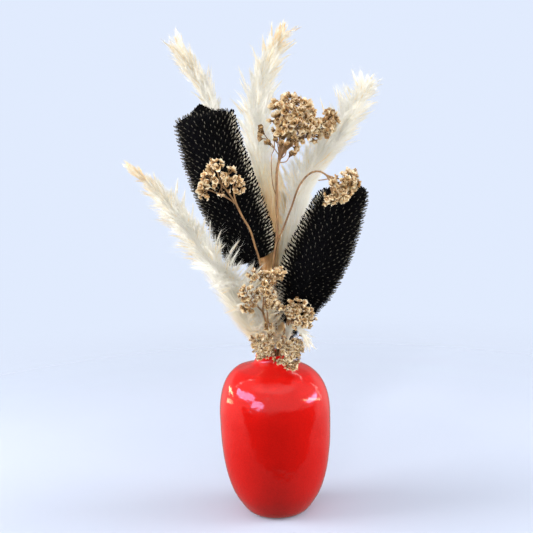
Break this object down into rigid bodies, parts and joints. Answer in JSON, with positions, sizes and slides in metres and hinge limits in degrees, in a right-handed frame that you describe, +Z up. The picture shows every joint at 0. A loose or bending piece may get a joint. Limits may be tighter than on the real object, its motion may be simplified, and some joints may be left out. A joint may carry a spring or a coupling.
{
  "type": "dried protea flower arrangement in bud vase",
  "caption": "Glazed bud vase with a short narrow neck, holding black dried banksia heads, cream pampas plumes and sprays of small dried florets.",
  "frame": {"origin": "centre of the vase's flat foot, on the surface that it stands on", "axes": "+Z up along the vase's axis; -Y is the front that the arrangement faces; +X is to the right seen from the front"},
  "size_m": [0.2521, 0.1498, 0.4949],
  "materials": {
    "red_glaze": "high gloss",
    "banksia_black": "matte, bristled",
    "pampas_cream": "soft, hairy",
    "yarrow_cream": "matte, dry"
  },
  "bodies": {
    "root": {"vase": "red_glaze", "banksia_left": "banksia_black", "banksia_right": "banksia_black", "pampas_tall": "pampas_cream", "pampas_right": "pampas_cream", "pampas_left": "pampas_cream", "pampas_top_left": "pampas_cream", "pampas_small": "pampas_cream", "yarrow_left": "yarrow_cream", "yarrow_top": "yarrow_cream", "yarrow_right": "yarrow_cream", "yarrow_low_centre": "yarrow_cream", "yarrow_low_right": "yarrow_cream", "yarrow_neck_left": "yarrow_cream", "yarrow_neck_right": "yarrow_cream"}
  },
  "joints": []
}
